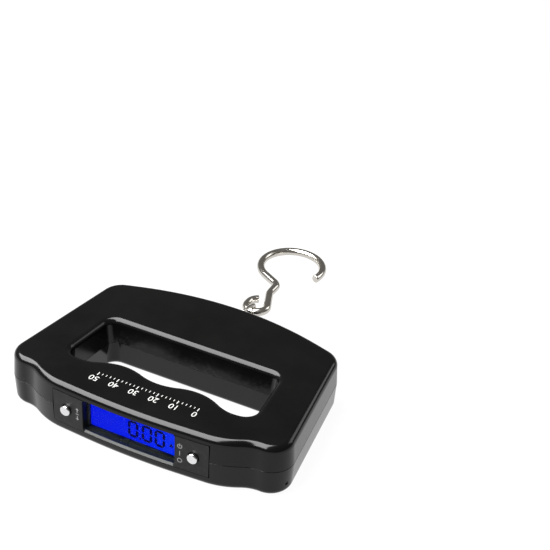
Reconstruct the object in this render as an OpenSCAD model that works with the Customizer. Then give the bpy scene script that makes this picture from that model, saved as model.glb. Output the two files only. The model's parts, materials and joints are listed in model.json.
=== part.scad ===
// Hand-held digital luggage scale: a two-part casing with a finger opening, a display on the
// edge above the grip, a bending-beam load cell and a swivelling shaft that carries a link and a hook.
// The scale lies on its back: X runs along the grip, Y from the display edge to the hook, Z is up.

/* [Casing] */
// Width of the casing at the display end
body_w = 133.5; // [132.5:0.5:134.5]
// Length of the casing from the display edge to the hook edge
body_l = 92.3; // [92:0.1:93]
// Thickness of the casing
body_t = 24.4; // [24:0.1:25]
// Height of the parting line between the two shells
seam_z = 12.8; // [12.6:0.1:13]
// Wall thickness of the shells
wall = 2.2; // [2:0.1:2.3]
// Radius of the rounded edge round the front face
front_round = 3; // [2:0.1:3.2]
// Radius of the rounded edge round the back face
back_round = 3; // [2.4:0.1:3.2]

/* [Display and buttons] */
// Width of the display bezel
bezel_w = 74.6; // [72:0.2:75]
// Width of the display window at the bezel's face
window_w = 44.6; // [43:0.2:45]
// Distance of each button from the middle
button_x = 30.3; // [30:0.1:30.6]
// Diameter of the button caps
button_d = 4.7; // [4.2:0.1:4.8]
// Travel of each button
button_travel = 0.4; // [0.2:0.05:0.5]

/* [Hook] */
// Diameter of the shaft
shaft_d = 5; // [4.8:0.1:5.2]
// Wire diameter of the link
link_wire = 1.5; // [1.4:0.1:1.6]
// Wire diameter of the hook
hook_wire = 3.9; // [3.7:0.1:4.1]
// Centre-line radius of the hook's bowl
hook_r = 15.5; // [15:0.5:17]
// Angle at which the link droops below the shaft
link_droop = 14; // [10:1:16]

/* [Hidden] */
$fn = 48;
gap = 0.05;
over = 1;
weld = 0.04;

// Casing outline: corners [x, y, radius] round the middle of the casing, on the +X half from hook to display
half_l = body_l / 2;
side_slope = 0.1257;
shoulder_y = 8 - half_l;
neck_y = half_l - 11.4;
wide_x = body_w / 2 + 1.35;
neck_x = wide_x - side_slope * (neck_y - shoulder_y);
ramp = [42, 2.1];
hook_edge_r = 150;
display_edge_r = 330;
body_half = [[neck_x, neck_y, 10.9], [wide_x, shoulder_y, 10], [53, shoulder_y, 14],
             [ramp.x, ramp.y - half_l, 34]];
hook_apex = [0, half_l + crown(neck_x, half_l - neck_y, hook_edge_r), hook_edge_r];
display_apex = [0, -half_l - crown(ramp.x, ramp.y, display_edge_r), display_edge_r];
body_corners = concat([hook_apex], flipped(body_half), [display_apex], reversed(body_half));

// Finger opening: straight towards the hook, three hollows and two ridges on the grip
opening_hook = [41.4, 7, 4];
opening_grip = [[44, -21.4, 4.6], [34.5, -22.9, 15], [18, -14.9, 24]];
opening_mid = [0, -22.7, 24];
opening_corners = concat([opening_hook], flipped([opening_hook]), flipped(opening_grip), [opening_mid],
                         reversed(opening_grip));
// How far the walls lean away from the parting line up to each face
body_draft = 0.5;
opening_draft = 0.9;
inner_offset = wall + 0.25;
opening_offset = wall + 0.45;
steps = 6;
round_steps = 4;

// Display stack, from the bezel's face inwards
edge_slope = crown_angle(ramp.x, ramp.y, display_edge_r);
bezel_z = [4.7, body_t - front_round - 0.4];
display_z = (bezel_z[0] + bezel_z[1]) / 2;
bezel_back = 5 - half_l;
bezel_inset = 0.25;
window_h = 15.2;
window_taper = 0.9;
window_t = 1;
pocket_x = bezel_w / 2 - 1.3;
pocket_z = [bezel_z[0] + 0.6, bezel_z[1] - 0.6];
lcd_size = [46, 2, 14.8];
light_size = [43, 2.2, 13.8];
board_size = [73, 1.6, 16.6];
lcd_y = bezel_back + 0.1;
light_y = lcd_y + lcd_size.y + 0.1;
board_y = light_y + light_size.y + 0.3;
post_z = 5.6;
post_r = 1.7;

// Buttons
button_face_y = display_apex.y + button_x * tan(edge_slope);
button_proud = 1.45;
button_tip_y = button_face_y - button_proud;
flange_t = 0.8;
flange_y = bezel_back + 0.1;
plunger_y = flange_y + flange_t;
plunger_l = 1.5;
switch_h = 3.2;

// Load cell and shaft
cell_size = [55, 12, 12];
cell_x = -5;
cell_y = 15;
cell_mid_y = cell_y + cell_size.y / 2;
cell_screw_x = [37, 46];
bracket_x = 41.5;
bracket_screw_y = [12.4, cell_y + cell_size.y + 3];
bracket_t = 1.5;
bracket_z = seam_z - cell_size.z / 2 - bracket_t - gap;
boss_r = 2.4;
washer_t = 0.7;
head_t = 2;
shaft_out = 3.8;
tongue_l = 6.8;
tongue_t = 2;
tongue_hole_r = 1.25;
tongue_hole_y = half_l + 6.7;

// Link: two half rings of radius link_r joined by straights, threaded through the tongue
link_r = 3.25;
link_straight = 7.2;
link_way = [0, cos(link_droop), -sin(link_droop)];
link_near = [0, tongue_hole_y + link_r, seam_z];
link_far = link_near + link_straight * link_way;

// Hook, in its own plane: u across, w along the pull, from the middle of the eye
eye_r = 5;
eye_lean = 22;
eye_tail = 1.5;
shank_bend_r = 8;
knee_r = 4;
knee_w = 19.6;
knee_slope = 31;
bowl_u = 1.5;
bowl_tip = 16;
eye_seat = link_far + (link_r - link_wire / 2 - hook_wire / 2 - 0.25) * link_way;
eye_mid = eye_seat + [0, eye_r, 0];
lean_start = eye_r * [-cos(eye_lean), sin(eye_lean)];
lean_run = (-lean_start.x - shank_bend_r * (1 - cos(eye_lean))) / sin(eye_lean);
shank_w = lean_start.y + lean_run * cos(eye_lean) + shank_bend_r * sin(eye_lean);
knee_turn = 90 - knee_slope;
knee_end = [knee_r * (1 - cos(knee_turn)), knee_w + knee_r * sin(knee_turn)];
bowl_in_u = bowl_u + hook_r * cos(knee_turn);
slope_run = (bowl_in_u - knee_end.x) / cos(knee_slope);
bowl_w = knee_end.y + slope_run * sin(knee_slope) + hook_r * sin(knee_turn);
hook_end_y = eye_mid.y + bowl_w + hook_r + hook_wire / 2;

// The frame's origin is under the middle of the whole object
shift_y = -(button_tip_y + hook_end_y) / 2;

// Casing screws, battery bay and wiring
case_screw_at = [[57, -28], [-57, -28], [57.2, 3], [-57.2, 3], [24, 37.4], [-24, 37.4]];
pillar_r = 3;
counterbore_r = 2.6;
counterbore_z = 6;
screw_head_r = 2.3;
screw_head_t = 1.6;
screw_l = 14;
cell_r = 5.25;
cell_l = 44.5;
cell_rows = [16.6, 27.3];
bay_x = [-54.4, -6.6];
bay_y = [11.1, 32.8];
bay_wall = 1;
cell_z = 2.2 + cell_r;
bay_top = cell_z + cell_r + 0.3;
cells_mid_x = -30.6;
door_x = [-52.5, -8.5];
door_y = [12.2, 31.7];
door_t = 1.6;
door_lip = 1.2;
lead_r = 0.6;
cable_r = 1.2;
spring_r = 3.6;
spring_wire_r = 0.25;
spring_turns = 2.25;
spring_rise = 0.55;
lead_route = [[-7.3, 24, 16.6], [-14, 31.5, 17.5], [-36, 32.5, 17.5], [-50, 27, 17.5], [-51.5, 14, 17.5],
              [-50, 2, 16], [-49, -12, 14], [-50, -22, 13], [-46, -28.5, 13], [-38, -30.2, 12.5],
              [-32, -30.4, 12], [-30.5, board_y + 1.9, 12]];
cable_route = [[25, 29, 12.8], [30, 34, 13], [38, 35, 14], [48, 33, 15], [53, 24, 15], [52.5, 12, 15],
               [51, 2, 14.5], [50, -12, 14], [50.5, -22, 13.5], [46, -28.5, 13], [36, -30.2, 12.5],
               [28, -30.4, 12.5], [26, board_y + 2.3, 12.5]];

// ---- Outline functions ----

// An edge that an arc of radius r crowns by "rise" over corners at half width x: its tilt, its apex corner
function crown_angle(x, rise, r) = atan2(x, r - rise) - acos(r / norm([x, r - rise]));
function crown(x, rise, r) = x * tan(crown_angle(x, rise, r)) - rise;
function flipped(points) = [for (p = points) [-p[0], p[1], p[2]]];
function reversed(points) = [for (i = [len(points) - 1:-1:0]) points[i]];
function unit(v) = v / norm(v);
function left(v) = [-v.y, v.x];

// Arc at one corner of a rounded outline that is moved inwards by "inset"
function corner_arc(before, here, after, inset, n) =
    let (u0 = unit([here[0] - before[0], here[1] - before[1]]),
         u1 = unit([after[0] - here[0], after[1] - here[1]]),
         turn = atan2(u0.x * u1.y - u0.y * u1.x, u0 * u1),
         side = sign(turn),
         corner = [here[0], here[1]] + (left(u0) + left(u1)) / (1 + u0 * u1) * inset,
         r = max(here[2] - inset * side, 0.2),
         start = corner - u0 * r * tan(abs(turn) / 2),
         middle = start + left(u0) * r * side,
         from = atan2(start.y - middle.y, start.x - middle.x))
    [for (k = [0:n]) middle + r * [cos(from + turn * k / n), sin(from + turn * k / n)]];

function outline(corners, inset, n = steps) =
    let (count = len(corners))
    [for (i = [0:count - 1])
        each corner_arc(corners[(i + count - 1) % count], corners[i], corners[(i + 1) % count], inset, n)];

// Solid through the outline at levels [inset, z], from the lowest level up
module loft(corners, levels) {
    rings = [for (level = levels) outline(corners, level[0])];
    n = len(rings[0]);
    top = len(levels) - 1;
    points = [for (i = [0:top]) for (p = rings[i]) [p.x, p.y, levels[i][1]]];
    sides = [for (i = [0:top - 1]) for (j = [0:n - 1])
        let (a = i * n + j, b = i * n + (j + 1) % n)
        each [[a, a + n, b + n], [a, b + n, b]]];
    floor_face = [for (j = [0:n - 1]) j];
    roof_face = [for (j = [n - 1:-1:0]) top * n + j];
    polyhedron(points = points, faces = concat(sides, [floor_face], [roof_face]));
}

// Levels of a wall with draft and a rounded edge, from the parting line to the face
function wall_levels(draft, radius, from_z, to_z, way) =
    let (face_way = sign(to_z - from_z))
    concat([[0, from_z]],
           [for (k = [0:round_steps])
               let (a = 90 * k / round_steps)
               [way * (draft + radius * (1 - cos(a))), to_z - face_way * radius * (1 - sin(a))]]);

// Round tube of radius r swept along a route with smooth bends
function spline(p0, p1, p2, p3, t) =
    0.5 * ((2 * p1) + (p2 - p0) * t + (2 * p0 - 5 * p1 + 4 * p2 - p3) * t * t
           + (3 * p1 - p0 - 3 * p2 + p3) * t * t * t);
function smooth(route, k) =
    let (m = len(route) - 1)
    [for (i = [0:m - 1]) for (j = [0:k - 1])
        spline(route[max(i - 1, 0)], route[i], route[i + 1], route[min(i + 2, m)], j / k), route[m]];
module tube(route, r, sides = 8, k = 3, beside = [0, 0, 1]) {
    path = smooth(route, k);
    m = len(path) - 1;
    points = [for (i = [0:m])
        let (way = unit(path[min(i + 1, m)] - path[max(i - 1, 0)]),
             across = unit(cross(way, beside)),
             up = cross(across, way))
        for (s = [0:sides - 1]) path[i] + r * (cos(360 * s / sides) * across + sin(360 * s / sides) * up)];
    walls = [for (i = [0:m - 1]) for (s = [0:sides - 1])
        let (a = i * sides + s, b = i * sides + (s + 1) % sides)
        each [[a, b, b + sides], [a, b + sides, a + sides]]];
    first = [for (s = [sides - 1:-1:0]) s];
    last = [for (s = [0:sides - 1]) m * sides + s];
    polyhedron(points = points, faces = concat(walls, [first], [last]));
}

// ---- Shared shapes ----

module placed() {
    translate([0, shift_y, 0]) children();
}

module along_y(at, r, l) {
    translate(at) rotate([-90, 0, 0]) cylinder(r = r, h = l);
}

module block(low, high) {
    translate(low) cube(high - low);
}

module cavity(z0, z1) {
    translate([0, 0, z0]) linear_extrude(z1 - z0) difference() {
        polygon(outline(body_corners, inner_offset));
        polygon(outline(opening_corners, -opening_offset));
    }
}

module display_slot(side_gap) {
    block([-bezel_w / 2 - side_gap, -half_l - over, bezel_z[0] - side_gap],
          [bezel_w / 2 + side_gap, bezel_back + side_gap, bezel_z[1] + side_gap]);
}

// Room behind the bezel for the display, the switches and the posts
module display_pocket() {
    block([-pocket_x, bezel_back - over, pocket_z[0]], [pocket_x, board_y, pocket_z[1]]);
}

// Clearance slot round the shaft: wider than it is high
module shaft_slot() {
    for (x = [-1.2, 1.2]) along_y([x, half_l - 6, seam_z], 3.1, 8);
    block([-1.2, half_l - 6, seam_z - 3.1], [1.2, half_l + 2, seam_z + 3.1]);
}

module bay_walls(top_z) {
    block([bay_x[0] - bay_wall, bay_y[0] - bay_wall, wall / 2], [bay_x[1] + bay_wall, bay_y[1] + bay_wall, top_z]);
}

// ---- Casing ----

module front_shell() {
    color([0.045, 0.045, 0.05]) placed() difference() {
        union() {
            difference() {
                loft(body_corners, wall_levels(body_draft, front_round, seam_z + gap, body_t, 1));
                cavity(seam_z - over, body_t - wall);
            }
            for (at = case_screw_at) translate([at.x, at.y, seam_z + gap])
                cylinder(r = pillar_r, h = body_t - wall / 2 - seam_z);
            for (y = bracket_screw_y) translate([bracket_x, y, bracket_z + bracket_t])
                cylinder(r = boss_r, h = body_t - wall / 2 - bracket_z - bracket_t);
        }
        loft(opening_corners, concat([[0, seam_z - over]],
                                     wall_levels(opening_draft, front_round, seam_z, body_t + gap, -1)));
        for (at = case_screw_at) translate([at.x, at.y, seam_z - over]) cylinder(r = 1.3, h = 7.5);
        for (y = bracket_screw_y) translate([bracket_x, y, bracket_z]) cylinder(r = 1.1, h = 9);
        display_slot(0.1);
        display_pocket();
        shaft_slot();
    }
}

module back_shell() {
    color([0.045, 0.045, 0.05]) placed() difference() {
        union() {
            difference() {
                loft(body_corners, reversed(wall_levels(body_draft, back_round, seam_z - gap, 0, 1)));
                cavity(wall, seam_z + over);
            }
            for (at = case_screw_at) translate([at.x, at.y, wall / 2])
                cylinder(r = pillar_r + 0.4, h = seam_z - gap - wall / 2);
            bay_walls(seam_z - gap);
            intersection() {
                bay_walls(bay_top + bay_wall);
                linear_extrude(body_t) polygon(outline(body_corners, inner_offset + 0.1));
            }
        }
        loft(opening_corners, concat(reversed(wall_levels(opening_draft, back_round, seam_z, -gap, -1)),
                                     [[0, seam_z + over]]));
        for (at = case_screw_at) translate([at.x, at.y, -over]) {
            cylinder(r = 1.5, h = seam_z + 2 * over);
            cylinder(r = counterbore_r, h = counterbore_z + over);
        }
        block([bay_x[0], bay_y[0], wall], [bay_x[1], bay_y[1], bay_top]);
        block([door_x[0], door_y[0], -over], [door_x[1], door_y[1], wall + over]);
        block([door_x[0] - door_lip, door_y[0] - door_lip, -over],
              [door_x[1] + door_lip, door_y[1] + door_lip, door_t / 2 + 0.1]);
        display_slot(0.1);
        display_pocket();
        shaft_slot();
    }
}

module battery_door() {
    side = 0.2;
    color([0.05, 0.05, 0.055]) placed() union() {
        block([door_x[0] - door_lip + side, door_y[0] - door_lip + side, 0],
              [door_x[1] + door_lip - side, door_y[1] + door_lip - side, door_t / 2]);
        block([door_x[0] + side, door_y[0] + side, 0], [door_x[1] - side, door_y[1] - side, door_t]);
    }
}

module case_screws() {
    head_z = counterbore_z - screw_head_t - gap;
    color([0.75, 0.75, 0.77]) placed() for (at = case_screw_at) translate([at.x, at.y, head_z]) difference() {
        union() {
            cylinder(r = screw_head_r, h = screw_head_t);
            cylinder(r = 1.25, h = screw_l);
        }
        for (turn = [0, 90]) rotate([0, 0, turn]) translate([-1.4, -0.3, -over]) cube([2.8, 0.6, over + 0.8]);
    }
}

// ---- Display and electronics ----

// Cut for the display: wide at the bezel's face, sloping in to the window in front of the glass
module window_recess() {
    low = [window_w / 2, window_h / 2];
    deep = low - [window_taper, window_taper];
    face_y = display_apex.y;
    floor_y = bezel_back - window_t;
    corners = [[-1, -1], [1, -1], [1, 1], [-1, 1]];
    slope = (low.x - deep.x) / (floor_y - face_y);
    front = low + slope * [over, over];
    translate([0, 0, display_z]) {
        polyhedron(
            points = [for (c = corners) [c.x * front.x, face_y - over, c.y * front.y],
                      for (c = corners) [c.x * deep.x, floor_y, c.y * deep.y]],
            faces = [[3, 2, 1, 0], [4, 5, 6, 7], [1, 5, 4, 0], [2, 6, 5, 1], [3, 7, 6, 2], [0, 4, 7, 3]]);
        block([-deep.x, floor_y - gap, -deep.y], [deep.x, bezel_back + over, deep.y]);
    }
}

module display_bezel() {
    color([0.13, 0.13, 0.14]) placed() difference() {
        union() {
            intersection() {
                translate([0, 0, bezel_z[0]]) linear_extrude(bezel_z[1] - bezel_z[0])
                    polygon(outline(body_corners, bezel_inset));
                display_slot(0);
            }
            for (x = [-button_x, button_x], z = [-post_z, post_z])
                along_y([x, bezel_back - 0.3, display_z + z], post_r, board_y - bezel_back + 0.3 - gap);
        }
        window_recess();
        for (x = [-button_x, button_x]) {
            along_y([x, -half_l - over, display_z], button_d / 2 + 0.3, 6);
            for (z = [-post_z, post_z]) along_y([x, board_y - 4, display_z + z], 0.95, 5);
        }
    }
}

module centred_plate(size, y) {
    block([-size.x / 2, y, display_z - size.z / 2], [size.x / 2, y + size.y, display_z + size.z / 2]);
}

module display_window() {
    side = 0.1;
    color([0.1, 0.15, 0.5, 0.4]) placed()
        centred_plate([window_w - 2 * window_taper - 2 * side, window_t, window_h - 2 * window_taper - 2 * side],
                      bezel_back - window_t);
}

module lcd_glass() {
    color([0.05, 0.1, 0.9]) placed() centred_plate(lcd_size, lcd_y);
}

module zebra_strip() {
    strip_z = display_z - lcd_size.z / 2;
    color([0.85, 0.45, 0.6]) placed()
        block([-20, lcd_y + lcd_size.y + gap, strip_z - 0.1], [20, board_y - gap, strip_z + 1]);
}

module backlight() {
    lift = 1.2;
    color([0.2, 0.35, 1]) placed()
        block([-light_size.x / 2 + 2.2, light_y, display_z - light_size.z / 2 + lift],
              [light_size.x / 2 - 2.2, light_y + light_size.y, display_z + light_size.z / 2]);
}

module backlight_leds() {
    color([0.9, 0.9, 1]) placed() for (side = [-1, 1])
        translate([side * (light_size.x / 2 - 1), light_y + 1.1, display_z]) cube([1.6, 2, 4], center = true);
}

module main_board() {
    color([0.05, 0.35, 0.15]) placed() difference() {
        centred_plate(board_size, board_y);
        for (x = [-button_x, button_x], z = [-post_z, post_z])
            along_y([x, board_y - over, display_z + z], 1, board_size.y + 2 * over);
    }
}

module board_chips() {
    back = board_y + board_size.y;
    color([0.03, 0.03, 0.03]) placed() {
        along_y([6, back, display_z], 5, 1.1);
        block([-14, back, display_z - 2.5], [-9, back + 1.5, display_z + 2.5]);
        block([15, back, display_z - 4], [17.2, back + 1.2, display_z + 1]);
    }
}

module tact_switches() {
    color([0.12, 0.12, 0.13]) placed() for (x = [-button_x, button_x]) difference() {
        translate([x, board_y - switch_h / 2, display_z]) cube([6, switch_h, 6], center = true);
        along_y([x, board_y - switch_h - over, display_z], 1.6, over + 1.8);
    }
}

module board_screws() {
    color([0.8, 0.8, 0.82]) placed() for (x = [-button_x, button_x], z = [-post_z, post_z]) {
        along_y([x, board_y + board_size.y, display_z + z], 1.7, 1);
        along_y([x, board_y - 3.6, display_z + z], 0.9, board_size.y + 3.7);
    }
}

module button_cap(x) {
    cap_r = button_d / 2;
    translate([x, button_tip_y, display_z]) rotate([-90, 0, 0]) rotate_extrude() polygon([
        [0, 0], [cap_r - 0.7, 0], [cap_r - 0.2, 0.2], [cap_r, 0.7], [cap_r, flange_y - button_tip_y],
        [cap_r + 0.9, flange_y - button_tip_y], [cap_r + 0.9, flange_y - button_tip_y + flange_t],
        [0, flange_y - button_tip_y + flange_t]]);
}

module unit_button() {
    color([0.85, 0.85, 0.87]) placed() button_cap(-button_x);
}

module tare_button() {
    color([0.85, 0.85, 0.87]) placed() button_cap(button_x);
}

module unit_plunger() {
    color([0.2, 0.2, 0.2]) placed() along_y([-button_x, plunger_y, display_z], 1.5, plunger_l);
}

module tare_plunger() {
    color([0.2, 0.2, 0.2]) placed() along_y([button_x, plunger_y, display_z], 1.5, plunger_l);
}

// ---- Load cell ----

module load_cell() {
    low_z = seam_z - cell_size.z / 2;
    color([0.75, 0.76, 0.78]) placed() difference() {
        block([cell_x, cell_y, low_z], [cell_x, cell_y, low_z] + cell_size);
        along_y([0, cell_y - over, seam_z], shaft_d / 2 + gap, cell_size.y + 2 * over);
        for (x = [16, 24]) translate([x, cell_mid_y, low_z - over]) cylinder(r = 4.6, h = cell_size.z + 2 * over);
        translate([16, cell_mid_y - 1.2, low_z - over]) cube([8, 2.4, cell_size.z + 2 * over]);
        for (x = cell_screw_x) translate([x, cell_mid_y, low_z - over]) cylinder(r = 1.6, h = 9 + over);
    }
}

module strain_gauges() {
    color([0.95, 0.95, 0.92]) placed() for (y = [cell_y - 1, cell_y + cell_size.y])
        block([12, y, seam_z - 4.5], [28, y + 1, seam_z + 4.5]);
}

module cell_bracket() {
    color([0.7, 0.7, 0.72]) placed() difference() {
        block([32.5, bracket_screw_y[0] - 2.4, bracket_z], [50, bracket_screw_y[1] + 2.4, bracket_z + bracket_t]);
        for (y = bracket_screw_y) translate([bracket_x, y, bracket_z - over]) cylinder(r = 1.3, h = bracket_t + 2 * over);
        for (x = cell_screw_x) translate([x, cell_mid_y, bracket_z - over]) cylinder(r = 1.7, h = bracket_t + 2 * over);
    }
}

module pan_screw(r, l) {
    translate([0, 0, -1.4]) cylinder(r = 2 * r, h = 1.4);
    cylinder(r = r, h = l);
}

module cell_screws() {
    color([0.7, 0.7, 0.72]) placed() for (x = cell_screw_x)
        translate([x, cell_mid_y, bracket_z]) pan_screw(1.5, 9);
}

module bracket_screws() {
    color([0.7, 0.7, 0.72]) placed() for (y = bracket_screw_y)
        translate([bracket_x, y, bracket_z]) pan_screw(1.05, 8);
}

module thrust_washer() {
    color([0.8, 0.7, 0.35]) placed() difference() {
        along_y([0, cell_y - gap - washer_t, seam_z], 4.5, washer_t);
        along_y([0, cell_y - over - washer_t, seam_z], shaft_d / 2 + 0.1, washer_t + 2 * over);
    }
}

// ---- Shaft, link and hook ----

module hook_shaft() {
    tongue_y = half_l + shaft_out;
    head_y = cell_y - 2 * gap - washer_t - head_t;
    color([0.82, 0.82, 0.84]) placed() difference() {
        union() {
            along_y([0, head_y, seam_z], 4, head_t);
            along_y([0, head_y, seam_z], shaft_d / 2, tongue_y - head_y);
            intersection() {
                along_y([0, tongue_y - over, seam_z], shaft_d / 2, tongue_l + over);
                block([-shaft_d, tongue_y - over, seam_z - tongue_t / 2],
                      [shaft_d, tongue_y + tongue_l + over, seam_z + tongue_t / 2]);
                union() {
                    translate([0, tongue_y + tongue_l - shaft_d / 2, seam_z - over - tongue_t])
                        cylinder(r = shaft_d / 2 + 0.3, h = 3 * tongue_t);
                    block([-shaft_d, tongue_y - over, seam_z - tongue_t],
                          [shaft_d, tongue_y + tongue_l - shaft_d / 2, seam_z + tongue_t]);
                }
            }
        }
        translate([0, tongue_hole_y, seam_z - tongue_t]) cylinder(r = tongue_hole_r, h = 2 * tongue_t);
    }
}

// Part of a ring of wire in the XY plane, from angle "from" through "sweep"
module wire_arc(r, wire, from, sweep) {
    rotate([0, 0, from]) rotate_extrude(angle = sweep) translate([r, 0]) circle(d = wire);
}

// Straight piece of wire in the XY plane from point a to point b: a hair slimmer than the arcs at its
// ends, and run a little way into them
module wire_rod(a, b, wire) {
    translate([a.x, a.y, 0]) rotate([0, 0, atan2(b.y - a.y, b.x - a.x)]) rotate([0, 90, 0])
        translate([0, 0, -weld]) cylinder(d = wire - weld, h = norm(b - a) + 2 * weld);
}

module chain_link() {
    color([0.82, 0.82, 0.84]) placed() translate(link_near) rotate([-link_droop, 0, 0]) rotate([0, 90, 0]) {
        wire_arc(link_r, link_wire, 180, 180);
        translate([0, link_straight]) wire_arc(link_r, link_wire, 0, 180);
        for (side = [-link_r, link_r]) wire_rod([side, 0], [side, link_straight], link_wire);
    }
}

module s_hook() {
    tail = [eye_r, eye_tail];
    bowl_in = [bowl_in_u, bowl_w - hook_r * sin(knee_turn)];
    lean_end = lean_start + lean_run * [sin(eye_lean), cos(eye_lean)];
    color([0.82, 0.82, 0.84]) placed() translate(eye_mid) mirror([1, 0, 0]) {
        translate([0, eye_tail]) wire_arc(eye_r, hook_wire, 0, 68);
        wire_rod([eye_r, 0], tail, hook_wire);
        wire_arc(eye_r, hook_wire, 180 - eye_lean, 180 + eye_lean);
        wire_rod(lean_start, lean_end, hook_wire);
        translate([-shank_bend_r, shank_w]) wire_arc(shank_bend_r, hook_wire, -eye_lean, eye_lean);
        wire_rod([0, shank_w], [0, knee_w], hook_wire);
        translate([knee_r, knee_w]) wire_arc(knee_r, hook_wire, 180 - knee_turn, knee_turn);
        wire_rod(knee_end, bowl_in, hook_wire);
        translate([bowl_u, bowl_w]) wire_arc(hook_r, hook_wire, -knee_turn, knee_turn + 180 + bowl_tip);
    }
}

// ---- Power and wiring ----

module battery_cells() {
    color([0.1, 0.45, 0.2]) placed() for (i = [0, 1]) translate([cells_mid_x, cell_rows[i], cell_z])
        rotate([0, i == 0 ? 90 : -90, 0]) union() {
            translate([0, 0, -cell_l / 2]) cylinder(r = cell_r - 0.05, h = cell_l - 0.9);
            translate([0, 0, cell_l / 2 - 0.9]) cylinder(r = 1.9, h = 0.9);
        }
}

// Cone-shaped coil that narrows away from its contact plate, "way" along X
module battery_spring(at, way) {
    steps_per_turn = 10;
    last = spring_turns * steps_per_turn;
    route = [for (k = [0:last])
        let (t = k / last, r = spring_r * (1 - 0.45 * t), a = 360 * k / steps_per_turn)
        at + [way * (spring_wire_r + spring_rise * t), r * cos(a), r * sin(a)]];
    tube(route, spring_wire_r, 6, 2, [1, 0, 0]);
}

module battery_contacts() {
    plate_t = 0.4;
    color([0.8, 0.8, 0.78]) placed() {
        for (y = cell_rows) block([bay_x[1] - plate_t, y - 4.5, cell_z - 4], [bay_x[1], y + 4.5, cell_z + 4]);
        block([bay_x[0], cell_rows[0] - 4.5, cell_z - 4], [bay_x[0] + plate_t, cell_rows[1] + 4.5, cell_z + 4]);
        battery_spring([bay_x[0] + plate_t, cell_rows[0], cell_z], 1);
        battery_spring([bay_x[1] - plate_t, cell_rows[1], cell_z], -1);
    }
}

module battery_leads() {
    color([0.75, 0.08, 0.08]) placed() for (side = [-1, 1])
        tube([for (p = lead_route) p + [0, 0, side * 0.8]], lead_r, 6, 2);
}

module cell_cable() {
    color([0.85, 0.85, 0.85]) placed() tube(cable_route, cable_r, 8, 2);
}

front_shell();
back_shell();
battery_door();
case_screws();
display_bezel();
display_window();
lcd_glass();
zebra_strip();
backlight();
backlight_leds();
main_board();
board_chips();
tact_switches();
board_screws();
unit_button();
unit_plunger();
tare_button();
tare_plunger();
load_cell();
strain_gauges();
cell_bracket();
cell_screws();
bracket_screws();
thrust_washer();
hook_shaft();
chain_link();
s_hook();
battery_cells();
battery_contacts();
battery_leads();
cell_cable();
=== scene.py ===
"""Looks of the digital luggage scale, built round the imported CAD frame.

Shapes are worked out in millimetres round the middle of the casing, with Z up from its back, and go
into the row frame in metres when a piece is made.
"""

import json
import math
from collections import Counter

import bmesh
import bpy
import numpy as np
from mathutils import Euler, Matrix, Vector


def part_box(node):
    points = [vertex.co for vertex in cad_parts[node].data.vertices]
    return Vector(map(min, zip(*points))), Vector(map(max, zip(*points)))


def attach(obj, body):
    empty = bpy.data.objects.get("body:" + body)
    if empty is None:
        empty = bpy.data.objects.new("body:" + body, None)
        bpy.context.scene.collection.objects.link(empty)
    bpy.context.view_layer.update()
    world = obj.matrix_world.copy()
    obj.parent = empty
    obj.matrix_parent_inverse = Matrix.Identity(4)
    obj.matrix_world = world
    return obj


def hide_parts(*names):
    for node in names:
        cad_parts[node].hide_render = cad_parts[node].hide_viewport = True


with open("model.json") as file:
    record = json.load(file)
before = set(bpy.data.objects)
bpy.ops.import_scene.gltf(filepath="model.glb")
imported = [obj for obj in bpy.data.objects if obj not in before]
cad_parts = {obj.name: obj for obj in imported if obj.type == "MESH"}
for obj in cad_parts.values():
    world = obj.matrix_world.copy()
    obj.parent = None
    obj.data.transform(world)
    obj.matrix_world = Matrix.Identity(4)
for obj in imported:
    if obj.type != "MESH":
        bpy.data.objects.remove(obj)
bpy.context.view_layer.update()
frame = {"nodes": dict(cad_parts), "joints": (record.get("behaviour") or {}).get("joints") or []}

MM = 0.001

# ---- Sizes read from the frame ----

back_lo, back_hi = (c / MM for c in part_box("back_shell"))
SHIFT_Y = (back_lo.y + back_hi.y) / 2
HALF_L = 46.15
BODY_T = (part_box("front_shell")[1] / MM).z


def cad_box(node):
    """A node's corners in millimetres, round the middle of the casing."""
    lo, hi = (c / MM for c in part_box(node))
    lo.y -= SHIFT_Y
    hi.y -= SHIFT_Y
    return lo, hi


bezel_lo, bezel_hi = cad_box("display_bezel")
window_lo, window_hi = cad_box("display_window")
lcd_lo, lcd_hi = cad_box("lcd_glass")
cap_lo, cap_hi = cad_box("unit_button")
door_lo, door_hi = cad_box("battery_door")
hook_lo, hook_hi = cad_box("s_hook")
HEAD_Y = cad_box("hook_shaft")[0].y

JOINTS = {j["name"]: j for j in frame["joints"]}


def joint_at(name):
    """A joint's point in millimetres, round the middle of the casing."""
    p = Vector(JOINTS[name]["pos_m"]) / MM
    p.y -= SHIFT_Y
    return p


SEAM_Z = joint_at("link_swing").z
SEAM_GAP = 0.05
WALL = 2.2
ROUND = 3.0
BODY_DRAFT = 0.5
OPENING_DRAFT = 0.9
DISPLAY_Z = (bezel_lo.z + bezel_hi.z) / 2
BEZEL_BACK = window_hi.y
BUTTON_X = -(cap_lo.x + cap_hi.x) / 2

# ---- Outlines: corners [x, y, radius], the same as the casing's design ----

SHOULDER_Y = 8 - HALF_L
NECK_Y = HALF_L - 11.4
WIDE_X = 68.1
NECK_X = WIDE_X - 0.1257 * (NECK_Y - SHOULDER_Y)
RAMP = (42.0, 2.1)
HOOK_EDGE_R = 150.0
DISPLAY_EDGE_R = 330.0


def crown_angle(x, rise, r):
    return math.atan2(x, r - rise) - math.acos(r / math.hypot(x, r - rise))


def crown(x, rise, r):
    return x * math.tan(crown_angle(x, rise, r)) - rise


def flipped(points):
    return [(-x, y, r) for x, y, r in points]


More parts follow.
